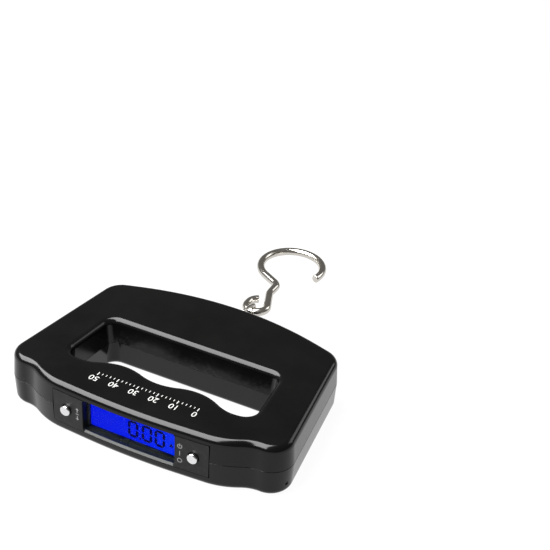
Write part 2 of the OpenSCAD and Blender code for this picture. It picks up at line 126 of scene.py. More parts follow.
EDGE_SLOPE = crown_angle(*RAMP, DISPLAY_EDGE_R)
DISPLAY_APEX_Y = -HALF_L - crown(*RAMP, DISPLAY_EDGE_R)
BODY_HALF = [(NECK_X, NECK_Y, 10.9), (WIDE_X, SHOULDER_Y, 10.0), (53.0, SHOULDER_Y, 14.0),
             (RAMP[0], RAMP[1] - HALF_L, 34.0)]
BODY = ([(0.0, HALF_L + crown(NECK_X, HALF_L - NECK_Y, HOOK_EDGE_R), HOOK_EDGE_R)] + flipped(BODY_HALF)
        + [(0.0, DISPLAY_APEX_Y, DISPLAY_EDGE_R)] + BODY_HALF[::-1])
GRIP = [(44.0, -21.4, 4.6), (34.5, -22.9, 15.0), (18.0, -14.9, 24.0)]
OPENING = ([(41.4, 7.0, 4.0), (-41.4, 7.0, 4.0)] + flipped(GRIP) + [(0.0, -22.7, 24.0)] + GRIP[::-1])
CORNER_STEPS = 18
ROUND_STEPS = 12
SMALLEST_R = 0.2


def unit(v):
    return v / np.linalg.norm(v)


def outline(corners, inset):
    """Rounded outline as an array of points, moved inwards by inset."""
    pts = []
    steps = CORNER_STEPS
    count = len(corners)
    for i in range(count):
        before, here, after = (np.array(corners[(i + k) % count][:2]) for k in (-1, 0, 1))
        u0, u1 = unit(here - before), unit(after - here)
        turn = math.atan2(u0[0] * u1[1] - u0[1] * u1[0], u0 @ u1)
        side = math.copysign(1.0, turn)
        left0, left1 = np.array([-u0[1], u0[0]]), np.array([-u1[1], u1[0]])
        corner = here + (left0 + left1) / (1 + u0 @ u1) * inset
        r = max(corners[i][2] - inset * side, SMALLEST_R)
        start = corner - u0 * r * math.tan(abs(turn) / 2)
        middle = start + left0 * r * side
        a0 = math.atan2(*(start - middle)[::-1])
        angles = [a0 + turn * k / steps for k in range(steps + 1)]
        pts += [middle + r * np.array([math.cos(a), math.sin(a)]) for a in angles]
    return np.array(pts)


def display_edge_y(x, inset=0.0):
    """How far the display edge reaches towards -Y at x."""
    tangent = DISPLAY_EDGE_R * math.sin(EDGE_SLOPE)
    if abs(x) < tangent:
        return -HALF_L + DISPLAY_EDGE_R - math.sqrt(DISPLAY_EDGE_R ** 2 - x * x) + inset
    return DISPLAY_APEX_Y + abs(x) * math.tan(EDGE_SLOPE) + inset / math.cos(EDGE_SLOPE)


# ---- Mesh helpers ----

SMOOTH_BELOW = 35
AT_AXIS = 1e-6
END_ROUNDING = 0.28
CAP_STEPS = 6


def to_row(p):
    return (p[0] * MM, (p[1] + SHIFT_Y) * MM, p[2] * MM)


def make(name, points, faces, *materials):
    """A mesh object from points in millimetres and faces of point numbers."""
    mesh = bpy.data.meshes.new(name)
    mesh.from_pydata([to_row(p) for p in points], [], faces)
    mesh.validate()
    for m in materials:
        mesh.materials.append(m)
    obj = bpy.data.objects.new(name, mesh)
    bpy.context.scene.collection.objects.link(obj)
    return obj


def outward(obj):
    bm = bmesh.new()
    bm.from_mesh(obj.data)
    bmesh.ops.remove_doubles(bm, verts=bm.verts, dist=1e-7)
    bmesh.ops.recalc_face_normals(bm, faces=bm.faces)
    bm.to_mesh(obj.data)
    bm.free()
    return obj


def applied(obj):
    """The object with its modifiers worked into its mesh."""
    bpy.context.view_layer.update()
    shown = obj.evaluated_get(bpy.context.evaluated_depsgraph_get())
    mesh = bpy.data.meshes.new_from_object(shown)
    obj.modifiers.clear()
    obj.data = mesh
    return obj


def cut(obj, *cutters, operation="DIFFERENCE", materials="INDEX"):
    """Exact boolean with each cutter in turn, which is then removed."""
    for c in cutters:
        m = obj.modifiers.new("cut", "BOOLEAN")
        m.operation = operation
        m.solver = "EXACT"
        m.material_mode = materials
        m.object = c
    applied(obj)
    for c in cutters:
        bpy.data.objects.remove(c)
    return obj


def softened(obj, width, segments=3, angle=30):
    """Rounds the edges by a modifier and shades smooth over what is left."""
    if width:
        m = obj.modifiers.new("edges", "BEVEL")
        m.width = width * MM
        m.segments = segments
        m.limit_method = "ANGLE"
        m.angle_limit = math.radians(angle)
        m.harden_normals = False
    return shaded(obj)


def shaded(obj):
    """Smooth shading that keeps sharp edges sharp and large faces flat."""
    applied(obj)
    obj.data.polygons.foreach_set("use_smooth", [True] * len(obj.data.polygons))
    obj.data.set_sharp_from_angle(angle=math.radians(SMOOTH_BELOW))
    w = obj.modifiers.new("weighted", "WEIGHTED_NORMAL")
    w.keep_sharp = True
    w.weight = 80
    return obj


def ring_faces(a, b, n):
    """Quads between the ring of n points from number a and the ring from number b."""
    return [(a + i, a + (i + 1) % n, b + (i + 1) % n, b + i) for i in range(n)]


def fan_faces(tip, ring, n, tip_first=True):
    """Triangles between one point and the ring of n points from number ring."""
    if tip_first:
        return [(tip, ring + (i + 1) % n, ring + i) for i in range(n)]
    return [(ring + i, ring + (i + 1) % n, tip) for i in range(n)]


def lathe(name, profile, at, axis, *materials, sides=64):
    """Solid of revolution: profile is (radius, distance along axis) from one end on the axis to the other."""
    axis = Vector(axis).normalized()
    u = axis.orthogonal().normalized()
    v = axis.cross(u)
    points, faces, rings = [], [], []
    for r, d in profile:
        rings.append(len(points))
        centre = Vector(at) + axis * d
        if r < AT_AXIS:
            points.append(centre)
        else:
            points += [centre + r * (math.cos(t) * u + math.sin(t) * v)
                       for t in (math.tau * i / sides for i in range(sides))]
    sizes = [1 if r < AT_AXIS else sides for r, _ in profile]
    for k in range(len(profile) - 1):
        a, b = rings[k], rings[k + 1]
        if sizes[k] == 1:
            faces += fan_faces(a, b, sides)
        elif sizes[k + 1] == 1:
            faces += fan_faces(b, a, sides, tip_first=False)
        else:
            faces += ring_faces(a, b, sides)
    return outward(make(name, points, faces, *materials))


def slab(name, corners, y0, y1, *materials):
    """Prism along Y over corners (x, z)."""
    n = len(corners)
    points = [(x, y0, z) for x, z in corners] + [(x, y1, z) for x, z in corners]
    faces = ring_faces(0, n, n) + [tuple(range(n))[::-1], tuple(range(n, 2 * n))]
    return outward(make(name, points, faces, *materials))


def box(name, lo, hi, *materials):
    corners = [(lo[0], lo[2]), (hi[0], lo[2]), (hi[0], hi[2]), (lo[0], hi[2])]
    return slab(name, corners, lo[1], hi[1], *materials)


def wire(name, path, r, *materials, closed=False, sides=24, swell=None):
    """Round wire along a path of points, with rounded ends."""
    path = [Vector(p) for p in path]
    n = len(path)
    tangents = []
    for i in range(n):
        a = path[(i - 1) % n] if closed or i > 0 else path[i]
        b = path[(i + 1) % n] if closed or i < n - 1 else path[i]
        tangents.append((b - a).normalized())
    side = tangents[0].orthogonal().normalized()
    stations = []
    for i, (p, t) in enumerate(zip(path, tangents)):
        side = (side - t * side.dot(t)).normalized()
        stations.append((p, t, side.copy(), r * (swell[i] if swell else 1.0)))
    if not closed:
        edge = END_ROUNDING * r
        for end in (0, -1):
            p, t, s, rr = stations[end]
            way = t if end else -t
            caps = []
            for k in range(1, CAP_STEPS + 1):
                a = math.pi / 2 * k / CAP_STEPS
                caps.append((p + way * (edge * math.sin(a) - edge), t, s, rr - edge + edge * math.cos(a)))
            caps.append((p, t, s, 0.0))
            stations[end] = (p - way * edge, t, s, rr)
            stations = stations + caps if end else caps[::-1] + stations
    points, faces, starts = [], [], []
    for p, t, s, rr in stations:
        starts.append(len(points))
        b = t.cross(s)
        if rr < AT_AXIS:
            points.append(p)
        else:
            points += [p + rr * (math.cos(a) * s + math.sin(a) * b)
                       for a in (math.tau * i / sides for i in range(sides))]
    count = len(stations)
    for k in range(count if closed else count - 1):
        a, b = starts[k], starts[(k + 1) % count]
        if k == 0 and not closed:
            faces += fan_faces(a, b, sides)
        elif k == count - 2 and not closed:
            faces += fan_faces(b, a, sides, tip_first=False)
        else:
            faces += ring_faces(a, b, sides)
    obj = outward(make(name, points, faces, *materials))
    obj.data.polygons.foreach_set("use_smooth", [True] * len(obj.data.polygons))
    return obj


# ---- Materials ----

PLASTIC_RELIEF = 0.00004
METAL_RELIEF = 0.00003
GLASS_RELIEF = 0.00002


class Nodes:
    """A short way to lay out shader nodes."""

    def __init__(self, name):
        self.material = bpy.data.materials.new(name)
        self.material.use_nodes = True
        self.tree = self.material.node_tree
        self.tree.nodes.clear()
        self.shader = self.add("ShaderNodeBsdfPrincipled")
        self.output = self.add("ShaderNodeOutputMaterial")
        self.link(self.shader, "BSDF", self.output, "Surface")
        self.place = self.add("ShaderNodeTexCoord")

    def add(self, kind, **values):
        node = self.tree.nodes.new(kind)
        for key, value in values.items():
            if key in node.inputs:
                node.inputs[key].default_value = value
            else:
                setattr(node, key, value)
        return node

    def link(self, a, out, b, into):
        self.tree.links.new(a.outputs[out], b.inputs[into])

    def set(self, **values):
        """Sets the shader's own sockets: Base_Color stands for the socket Base Color."""
        for key, value in values.items():
            self.shader.inputs[key.replace("_", " ")].default_value = value

    def noise(self, scale, detail=3.0, roughness=0.5, stretch=(1, 1, 1)):
        """Noise of a pattern size: scale is per metre of the object."""
        mapping = self.add("ShaderNodeMapping")
        mapping.inputs["Scale"].default_value = stretch
        self.link(self.place, "Object", mapping, "Vector")
        node = self.add("ShaderNodeTexNoise", Scale=scale, Detail=detail, Roughness=roughness)
        self.link(mapping, "Vector", node, "Vector")
        return node

    def ramp(self, source, out, stops):
        node = self.add("ShaderNodeValToRGB")
        ramp = node.color_ramp
        while len(ramp.elements) < len(stops):
            ramp.elements.new(0.5)
        for element, (at, colour) in zip(ramp.elements, stops):
            element.position = at
            value = colour if isinstance(colour, tuple) else (colour,) * 3
            element.color = (*value, 1.0)
        self.link(source, out, node, "Fac")
        return node

    @staticmethod
    def colour_out(node):
        return node.outputs[2] if node.bl_idname == "ShaderNodeMix" else node.outputs["Color"]

    def blend(self, factor, a, b, kind="MIX"):
        """Mixes node a's colour with node b's, or with a plain colour b, by a number or an output."""
        node = self.add("ShaderNodeMix")
        node.data_type = "RGBA"
        node.blend_type = kind
        if isinstance(factor, float):
            node.inputs[0].default_value = factor
        else:
            self.tree.links.new(factor, node.inputs[0])
        self.tree.links.new(self.colour_out(a), node.inputs[6])
        if isinstance(b, tuple):
            node.inputs[7].default_value = (*b, 1.0)
        else:
            self.tree.links.new(self.colour_out(b), node.inputs[7])
        return node

    def colour(self, node, into="Base Color"):
        self.tree.links.new(self.colour_out(node), self.shader.inputs[into])

    def bump(self, height, out, strength, distance):
        node = self.add("ShaderNodeBump", Strength=strength, Distance=distance)
        self.link(height, out, node, "Height")
        self.link(node, "Normal", self.shader, "Normal")


def moulded(name, dark, light, rough, grain, ior=1.5, wear=0.0, bump=0.12):
    """Moulded plastic: cloudy colour, fine grain, handling marks in the gloss and paler worn edges."""
    n = Nodes(name)
    cloud = n.noise(45, 4, 0.6)
    tone = n.ramp(cloud, "Fac", [(0.35, dark), (0.65, light)])
    speck = n.noise(grain * 0.6, 2, 0.7)
    specks = n.ramp(speck, "Fac", [(0.3, 0.88), (0.7, 1.0)])
    colour = n.blend(1.0, tone, specks, "MULTIPLY")
    if wear:
        geometry = n.add("ShaderNodeNewGeometry")
        edges = n.ramp(geometry, "Pointiness", [(0.52, 0.0), (0.6, 1.0)])
        scuff = n.noise(500, 5, 0.7)
        patches = n.ramp(scuff, "Fac", [(0.5, 0.0), (0.68, wear)])
        both = n.add("ShaderNodeMath", operation="MULTIPLY")
        n.link(edges, "Color", both, 0)
        n.link(patches, "Color", both, 1)
        worn = tuple(min(1.0, c * 4 + 0.02) for c in light)
        colour = n.blend(both.outputs["Value"], colour, worn)
    n.colour(colour)
    marks = n.noise(70, 6, 0.65)
    gloss = n.ramp(marks, "Fac", [(0.3, rough[0]), (0.75, rough[1])])
    n.link(gloss, "Color", n.shader, "Roughness")
    fine = n.noise(grain, 3, 0.6)
    n.bump(fine, "Fac", bump, PLASTIC_RELIEF)
    n.set(IOR=ior)
    return n.material


def metal(name, colour, rough, grain=900, stretch=(1, 1, 1), bump=0.05):
    """Plated or machined metal: faint tone variation, fine scratches, uneven gloss."""
    n = Nodes(name)
    cloud = n.noise(120, 4, 0.6)
    darker = tuple(c * 0.9 for c in colour)
    tone = n.ramp(cloud, "Fac", [(0.3, darker), (0.7, colour)])
    n.link(tone, "Color", n.shader, "Base Color")
    marks = n.noise(grain, 5, 0.7, stretch)
    gloss = n.ramp(marks, "Fac", [(0.35, rough[0]), (0.75, rough[1])])
    n.link(gloss, "Color", n.shader, "Roughness")
    n.bump(marks, "Fac", bump, METAL_RELIEF)
    n.set(Metallic=1.0)
    return n.material


CASING = moulded("casing_plastic", (0.0012, 0.0012, 0.0013), (0.0021, 0.0021, 0.0022), (0.12, 0.19), 5200,
                 ior=1.33, wear=0.35, bump=0.05)
PANEL = moulded("panel_plastic", (0.003, 0.0031, 0.0033), (0.0045, 0.0046, 0.0048), (0.36, 0.46), 5200,
                ior=1.34, wear=0.2)
# Display frame: dark plastic, with a green tint that is a painted reflection of the display's glow on the
# recess walls.
FRAME_WITH_PAINTED_GLOW = moulded("display_frame_painted_glow", (0.003, 0.0045, 0.0038), (0.0045, 0.0065, 0.0055), (0.25, 0.35), 4200,
                ior=1.4)
COVER = moulded("cover_plastic", (0.0046, 0.0046, 0.005), (0.0068, 0.0067, 0.007), (0.2, 0.3), 4800,
                ior=1.56, wear=0.4)
CHROME = metal("bright_plating", (0.58, 0.555, 0.515), (0.15, 0.23), 1500, (1, 0.25, 1))
KEY_CHROME = metal("key_plating", (0.70, 0.70, 0.71), (0.12, 0.2), 2500)

# ---- Casing: the two covers ----

WALL_IN = 2.45
OPENING_OUT = 2.65
SEAM_EASE = 0.16
BOARD_Y = cad_box("main_board")[0].y
SLOT_X = bezel_hi.x + 0.1
SLOT_Z = (bezel_lo.z - 0.1, bezel_hi.z + 0.1)
POCKET_X = bezel_hi.x - 1.3
POCKET_Z = (bezel_lo.z + 0.6, bezel_hi.z - 0.6)
SCREWS = [(57, -28), (-57, -28), (57.2, 3), (-57.2, 3), (24, 37.4), (-24, 37.4)]
BRACKET_AT = [(41.5, 12.4), (41.5, 30.0)]
BAY = ((-54.4, 11.1), (-6.6, 32.8))
DOOR = ((-52.5, 12.2), (-8.5, 31.7))
DOOR_LIP = 1.2
DOOR_T = 0.9
BAY_TOP = 13.0
PILLAR_R, PILOT_R, PILOT_DEPTH = 3.0, 1.3, 6.5
FOOT_R, SCREW_HOLE_R, HEAD_HOLE_R, HEAD_HOLE_TOP = 3.4, 1.5, 2.6, 6.0
BOSS_R, BOSS_LOW, BOSS_PILOT_R, BOSS_PILOT_TOP = 2.4, 7.0, 1.1, 14.5
DIMPLE_AT, DIMPLE_Z, DIMPLE_R, DIMPLE_INSET = (66.0, -31.5), 5.0, 0.95, 0.1


def loft(name, corners, levels, *materials):
    """Closed solid through a rounded outline at levels (inset, z)."""
    rings = [outline(corners, inset) for inset, _ in levels]
    n = len(rings[0])
    points = [(x, y, z) for ring, (_, z) in zip(rings, levels) for x, y in ring]
    faces = [f for k in range(len(levels) - 1) for f in ring_faces(k * n, (k + 1) * n, n)]
    faces += [tuple(range(n))[::-1], tuple((len(levels) - 1) * n + i for i in range(n))]
    return outward(make(name, points, faces, *materials))


def wall_levels(draft, from_z, to_z, way):
    """Levels of a wall from the eased edge at the parting line to the rounded edge of the face."""
    up = math.copysign(1, to_z - from_z)
    levels = []
    for k in range(4):
        a = math.pi / 2 * k / 3
        levels.append((way * SEAM_EASE * (1 - math.sin(a)), from_z + up * SEAM_EASE * (1 - math.cos(a))))
    for k in range(ROUND_STEPS + 1):
        a = math.pi / 2 * k / ROUND_STEPS
        levels.append((way * (draft + ROUND * (1 - math.cos(a))), to_z - up * ROUND * (1 - math.sin(a))))
    return levels


def pegs(places, r, z0, z1, sides=40):
    """Upright round pegs in one mesh."""
    points, faces = [], []
    for x, y in places:
        low = len(points)
        for z in (z0, z1):
            points += [(x + r * math.cos(math.tau * i / sides), y + r * math.sin(math.tau * i / sides), z)
                       for i in range(sides)]
        faces += ring_faces(low, low + sides, sides)
        faces += [tuple(range(low, low + sides))[::-1], tuple(range(low + sides, low + 2 * sides))]
    return outward(make("pegs", points, faces))


def rod_y(at, r, length, sides=48):
    return lathe("rod", [(0, 0), (r, 0), (r, length), (0, length)], at, (0, 1, 0), sides=sides)


def ball(at, r):
    """A ball with its middle at a point."""
    profile = [(r * math.sin(a), r - r * math.cos(a)) for a in (math.pi * k / 24 for k in range(25))]
    return lathe("ball", profile, Vector(at) - Vector((0, 0, r)), (0, 0, 1))


def stadium(half_gap, r):
    """Corners (x, z) of a slot of two half circles round the middle of the shaft."""
    right = [(half_gap + r * math.cos(a), SEAM_Z + r * math.sin(a))
             for a in (math.pi * (i / 20 - 0.5) for i in range(21))]
    return right + [(-x, 2 * SEAM_Z - z) for x, z in right]


def shell_cuts(opening_levels, cavity_z):
    """What hollows a cover: the cavity round the finger opening's walls, and the opening itself."""
    cavity = loft("cavity", BODY, [(WALL_IN, cavity_z[0]), (WALL_IN, cavity_z[1])])
    core = loft("core", OPENING, [(-OPENING_OUT, cavity_z[0] - 1), (-OPENING_OUT, cavity_z[1] + 1)])
    return cut(cavity, core), loft("opening", OPENING, opening_levels)


def edge_cuts():
    """Room for the display panel, for what lies behind it, and for the shaft."""
    return (box("slot", (-SLOT_X, -HALF_L - 1, SLOT_Z[0]), (SLOT_X, BEZEL_BACK + 0.1, SLOT_Z[1])),
            box("pocket", (-POCKET_X, BEZEL_BACK - 1, POCKET_Z[0]), (POCKET_X, BOARD_Y, POCKET_Z[1])),
            slab("shaft_slot", stadium(1.2, 3.1), HALF_L - 6, HALF_L + 2))


def front_cover():
    low = SEAM_Z + SEAM_GAP
    opening = [(0.0, SEAM_Z - 1)] + wall_levels(OPENING_DRAFT, SEAM_Z, BODY_T + 0.004, -1)
    opening.append((opening[-1][0], BODY_T + 1))
    cavity, opening = shell_cuts(opening, (SEAM_Z - 1, BODY_T - WALL))
    cover = loft("front_cover", BODY, wall_levels(BODY_DRAFT, low, BODY_T, 1), CASING)
    cut(cover, cavity)
    cut(cover, pegs(SCREWS, PILLAR_R, low, BODY_T - WALL / 2),
        pegs(BRACKET_AT, BOSS_R, BOSS_LOW, BODY_T - WALL / 2), operation="UNION")
    cut(cover, opening, pegs(SCREWS, PILOT_R, SEAM_Z - 1, SEAM_Z + PILOT_DEPTH),
        pegs(BRACKET_AT, BOSS_PILOT_R, BOSS_LOW - 2, BOSS_PILOT_TOP),
        *edge_cuts())
    return shaded(cover)


def back_cover():
    high = SEAM_Z - SEAM_GAP
    opening = wall_levels(OPENING_DRAFT, SEAM_Z, -0.004, -1)
    opening = [(0.0, SEAM_Z + 1)] + opening + [(opening[-1][0], -1)]
    cavity, opening = shell_cuts(opening[::-1], (WALL, SEAM_Z + 1))
    cover = loft("back_cover", BODY, wall_levels(BODY_DRAFT, high, 0, 1)[::-1], CASING)
    cut(cover, cavity)
    bay = box("bay", (BAY[0][0] - 1, BAY[0][1] - 1, WALL / 2), (BAY[1][0] + 1, BAY[1][1] + 1, BAY_TOP + 1))
    inner = loft("inner", BODY, [(WALL_IN - 0.1, WALL / 4), (WALL_IN - 0.1, BODY_T)])
    cut(bay, inner, operation="INTERSECT")
    cut(cover, pegs(SCREWS, FOOT_R, WALL / 2, high), bay, operation="UNION")
    cut(cover, opening, pegs(SCREWS, SCREW_HOLE_R, -1, SEAM_Z + 2),
        pegs(SCREWS, HEAD_HOLE_R, -1, HEAD_HOLE_TOP),
        box("well", (*BAY[0], WALL), (*BAY[1], BAY_TOP)),
        box("door_hole", (*DOOR[0], -1), (*DOOR[1], WALL + 1)),
        box("lip", (DOOR[0][0] - DOOR_LIP, DOOR[0][1] - DOOR_LIP, -1),
            (DOOR[1][0] + DOOR_LIP, DOOR[1][1] + DOOR_LIP, DOOR_T)),
        *edge_cuts())
    mark = min(outline(BODY, DIMPLE_INSET), key=lambda p: math.dist(p, DIMPLE_AT))
    cut(cover, ball((*mark, DIMPLE_Z), DIMPLE_R))
    return shaded(cover)


front = front_cover()
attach(front, "casing")
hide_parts("front_shell")
back = back_cover()
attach(back, "casing")
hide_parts("back_shell")

# ---- Display panel ----

RECESS_X, RECESS_Z = 22.1, (-7.7, 8.0)
RECESS_CORNER = 0.9
LIP = 0.8
WINDOW_X, WINDOW_Z = 20.3, (-5.8, 7.3)
PANEL_GAP = 0.24
PANEL_INSET = 0.25
KEY_HOLE_R, KEY_HOLE_DEPTH = 2.65, 6
POST_R, POST_PILOT_R, POST_Z = 1.7, 0.95, 5.6
POSTS_AT = [(x, DISPLAY_Z + z) for x in (-BUTTON_X, BUTTON_X) for z in (-POST_Z, POST_Z)]


def display_panel():
    xs = np.linspace(bezel_lo.x + PANEL_GAP, bezel_hi.x - PANEL_GAP, 81)
    edge = [(x, display_edge_y(x, PANEL_INSET)) for x in xs]
    side = edge + [(xs[-1], BEZEL_BACK), (xs[0], BEZEL_BACK)]
    n = len(side)
    points = [(x, y, z) for z in (bezel_lo.z + PANEL_GAP, bezel_hi.z - PANEL_GAP) for x, y in side]
    faces = ring_faces(0, n, n) + [tuple(range(n))[::-1], tuple(range(n, 2 * n))]
    return outward(make("display_panel", points, faces, PANEL))


def recess():
    """Cut in front of the display: a chamfered lip that follows the face, deep walls, the window's frame."""
    floor = BEZEL_BACK - (window_hi.y - window_lo.y)
    steps, turns, corner = 20, 6, RECESS_CORNER
    half, down, up = RECESS_X, *RECESS_Z
    stages = [(half, down, up, "face", -1.5),
              (half, down, up, "face", 0.0),
              (half - 0.4, down + LIP, up - 0.1, "face", LIP),
              (half - 0.7, down + LIP, up - 0.2, "flat", floor),
              (WINDOW_X, *WINDOW_Z, "flat", floor + 0.02),
              (WINDOW_X, *WINDOW_Z, "flat", BEZEL_BACK + 1)]
    points, faces = [], []
    for x_half, low, high, kind, depth in stages:
        ring = []
        for cx, cz, a0 in ((1, 1, 0), (-1, 1, 90), (-1, -1, 180), (1, -1, 270)):
            x0, z0 = cx * (x_half - corner), high - corner if cz > 0 else low + corner
            for k in range(turns + 1):
                a = math.radians(a0 + 90 * k / turns)
                ring.append((x0 + corner * math.cos(a), z0 + corner * math.sin(a)))
            if a0 in (0, 180):
                length = 2 * cx * (x_half - corner)
                ring += [(x0 - length * k / steps, ring[-1][1]) for k in range(1, steps)]
        for x, z in ring:
            y = display_edge_y(x, PANEL_INSET) + depth if kind == "face" else depth
            points.append((x, y, DISPLAY_Z + z))
    n = len(ring)
    for k in range(len(stages) - 1):
        faces += ring_faces(k * n, (k + 1) * n, n)
    faces += [tuple(range(n)), tuple((len(stages) - 1) * n + i for i in range(n))[::-1]]
    return outward(make("recess", points, faces, FRAME_WITH_PAINTED_GLOW))


# The recess walls take the frame's plastic, tinted green with a painted reflection of the display's glow.
panel = cut(display_panel(), recess(), materials="TRANSFER")
for x in (-BUTTON_X, BUTTON_X):
    cut(panel, rod_y((x, -HALF_L - 1, DISPLAY_Z), KEY_HOLE_R, KEY_HOLE_DEPTH))
cut(panel, *[rod_y((x, BEZEL_BACK - 0.3, z), POST_R, BOARD_Y - BEZEL_BACK + 0.25) for x, z in POSTS_AT],
    operation="UNION")
cut(panel, *[rod_y((x, BOARD_Y - 4, z), POST_PILOT_R, 5) for x, z in POSTS_AT])
softened(panel, 0.12, 2, 40)
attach(panel, "casing")
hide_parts("display_bezel")

# ---- Buttons ----

CAP_R, DOME_R = 2.35, 1.75
FLANGE_R, FLANGE_T = 3.25, 0.8


def key(name, x, node, body):
    """A domed cap with a flange that holds it behind the panel."""
    tip = cap_lo.y
    rise, bend = 0.22, CAP_R - DOME_R
    profile = [(DOME_R * k / 6, rise * (k / 6) ** 2) for k in range(6)]
    profile += [(DOME_R + bend * math.sin(a), rise + bend * (1 - math.cos(a))) for a in
                (math.radians(14 + 76 * i / 8) for i in range(9))]
    skirt = BEZEL_BACK + 0.1 - tip
    profile += [(CAP_R, skirt), (FLANGE_R - 0.1, skirt), (FLANGE_R, skirt + 0.1),
                (FLANGE_R, skirt + FLANGE_T), (0, skirt + FLANGE_T)]
    obj = shaded(lathe(name, profile, (x, tip, DISPLAY_Z), (0, 1, 0), KEY_CHROME))
    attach(obj, body)
    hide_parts(node)


key("unit_key_cap", -BUTTON_X, "unit_button", "unit_key")
key("tare_key_cap", BUTTON_X, "tare_button", "tare_key")

# ---- LCD ----

GLOW_HALF = 0.022
LCD = Nodes("lcd_glow")
split = LCD.add("ShaderNodeSeparateXYZ")
LCD.link(LCD.place, "Object", split, "Vector")
# The glow is brighter and greener towards +X.
span = LCD.add("ShaderNodeMapRange", **{"From Min": -GLOW_HALF, "From Max": GLOW_HALF})
LCD.link(split, "X", span, "Value")
glow = LCD.ramp(span, "Result", [(0.0, (0.001, 0.007, 0.70)), (0.6, (0.001, 0.012, 0.78)),
                                 (1.0, (0.003, 0.030, 0.80))])
cells = LCD.noise(900, 2, 0.5)
uneven = LCD.ramp(cells, "Fac", [(0.3, 0.92), (0.7, 1.0)])
LCD.colour(LCD.blend(1.0, glow, uneven, "MULTIPLY"), "Emission Color")
LCD.set(Emission_Strength=1.0, Roughness=0.35, Base_Color=(0.002, 0.004, 0.06, 1), Specular_IOR_Level=0.0)

INK = moulded("lcd_segments", (0.001, 0.001, 0.02), (0.001, 0.002, 0.04), (0.5, 0.6), 3000, ior=1.1)
PRINT = moulded("print_ink", (0.30, 0.30, 0.29), (0.38, 0.38, 0.37), (0.5, 0.65), 6000)
MARK = moulded("mark_ink", (0.2, 0.2, 0.2), (0.26, 0.26, 0.255), (0.5, 0.65), 6000)

lcd = box("lcd_panel", lcd_lo, lcd_hi, LCD.material)
softened(lcd, 0.15, 2)
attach(lcd, "casing")
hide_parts("lcd_glass")

DIGIT_Z, DIGIT_H = DISPLAY_Z - 4.3, 8.3
DIGITS_AT = ((-2.3, 2.6), (4.3, 9.2), (10.4, 15.3))
SEGMENT_W = 1.15


def bar(x0, z0, x1, z1):
    """Corners of a rectangle."""
    return [(x0, z0), (x1, z0), (x1, z1), (x0, z1)]


def plates(name, shapes, y, thick, material):
    """Thin flat shapes, polygons of (x, z), facing -Y."""
    points, faces = [], []
    for shape in shapes:
        low, n = len(points), len(shape)
        points += [(x, y, z) for x, z in shape] + [(x, y + thick, z) for x, z in shape]
        faces += ring_faces(low, low + n, n)
        faces += [tuple(range(low, low + n))[::-1], tuple(range(low + n, low + 2 * n))]
    return outward(make(name, points, faces, material))


def digit_segments(x0, x1, z0, z1, on):
    """Pointed bars of a seven-segment digit."""
    zm = (z0 + z1) / 2
    gap, h = 0.12, SEGMENT_W / 2
    bars = {"a": ((x0, z1 - h), (x1, z1 - h)), "d": ((x0, z0 + h), (x1, z0 + h)),
            "f": ((x0 + h, zm), (x0 + h, z1)), "b": ((x1 - h, zm), (x1 - h, z1)),
            "e": ((x0 + h, z0), (x0 + h, zm)), "c": ((x1 - h, z0), (x1 - h, zm))}
    shapes = []
    for letter in on:
        (xa, za), (xb, zb) = bars[letter]
        if za == zb:
            xa, xb = xa + h + gap, xb - h - gap
            shape = [(xa, za), (xa + h, za - h), (xb - h, za - h), (xb, za), (xb - h, za + h),
                     (xa + h, za + h)]
        else:
            za, zb = za + (h if za == z0 else 0) + gap, zb - (h if zb == z1 else 0) - gap
            shape = [(xa, za), (xa + h, za + h), (xa + h, zb - h), (xa, zb), (xa - h, zb - h),
                     (xa - h, za + h)]
        shapes.append(shape)
    return shapes


digits = []
for left_x, right_x in DIGITS_AT:
    digits += digit_segments(left_x, right_x, DIGIT_Z, DIGIT_Z + DIGIT_H, "abcdef")
digits.append(bar(3.0, DIGIT_Z, 3.9, DIGIT_Z + 0.9))
digits.append([(17.2, DIGIT_Z + 2.2), (19.2, DIGIT_Z + 2.2), (18.2, DIGIT_Z + 4.0)])
segments = plates("lcd_digits", digits, lcd_lo.y - 0.05, 0.05, INK)
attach(segments, "casing")

# ---- Hook, link and shaft ----

HOOK_R = (hook_hi.z - hook_lo.z) / 2
HOOK_Z = (hook_hi.z + hook_lo.z) / 2
EYE_MID_Y = joint_at("hook_swing").y
EYE_R = 5.0
EYE_TAIL = 1.5
LEAN = 22
LEAN_R = 8
KNEE_W = 19.6
KNEE_R = 4
KNEE_TURN = 59
BOWL_R = 15.5
BOWL_U = 1.5
BOWL_END = 196


def arc(cu, cw, r, a0, a1, step=5.0):
    n = max(2, int(abs(a1 - a0) / step))
    return [(cu + r * math.cos(math.radians(a0 + (a1 - a0) * i / n)),
             cw + r * math.sin(math.radians(a0 + (a1 - a0) * i / n))) for i in range(n + 1)]


def rod_points(a, b):
    """Points between a and b about 1.5 mm apart, without a and b."""
    n = max(1, int(math.dist(a, b) / 1.5))
    return [(a[0] + (b[0] - a[0]) * i / n, a[1] + (b[1] - a[1]) * i / n) for i in range(1, n)]


